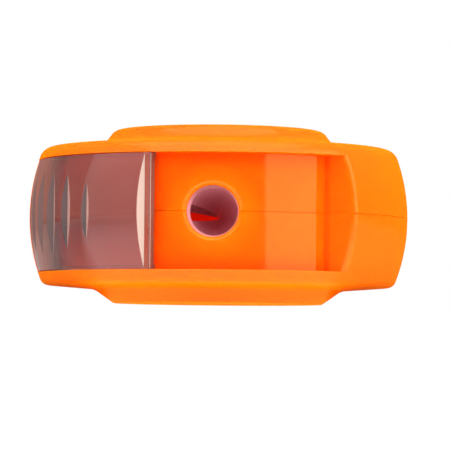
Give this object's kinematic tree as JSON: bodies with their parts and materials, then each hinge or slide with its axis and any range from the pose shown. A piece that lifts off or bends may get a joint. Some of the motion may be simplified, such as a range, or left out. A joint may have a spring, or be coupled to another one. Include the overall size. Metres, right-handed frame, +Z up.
{
  "type": "pencil sharpener with shavings container",
  "caption": "Round pencil sharpener: two orange shells form a shavings container, a smoked clear shutter turns in a channel round the front, and a metal wedge block holds the blade.",
  "frame": {"origin": "centre of the flat round foot that the sharpener rests on", "axes": "+Z up along the axis of the round body; the pencil hole faces -Y, so the pencil goes in along +Y; +X is to the right of someone who looks into the hole"},
  "size_m": [0.066, 0.0644, 0.0302],
  "materials": {
    "orange_plastic": "glossy translucent moulded plastic",
    "smoked_clear_plastic": "polished, transparent smoke grey",
    "cast_metal": "satin die-cast magnesium alloy",
    "blade_steel": "ground hardened steel",
    "screw_steel": "zinc plated"
  },
  "bodies": {
    "case": {"lower_shell": "orange_plastic", "upper_shell": "orange_plastic", "sharpener_block": "cast_metal", "sharpener_blade": "blade_steel", "blade_screw": "screw_steel"},
    "shutter": {"shutter": "smoked_clear_plastic"}
  },
  "joints": [
    {"name": "shutter_turn", "type": "hinge", "parent": "case", "child": "shutter", "pos_m": [0, 0, 0.015], "axis": [0, 0, 1], "range_deg": [0, 55]}
  ]
}
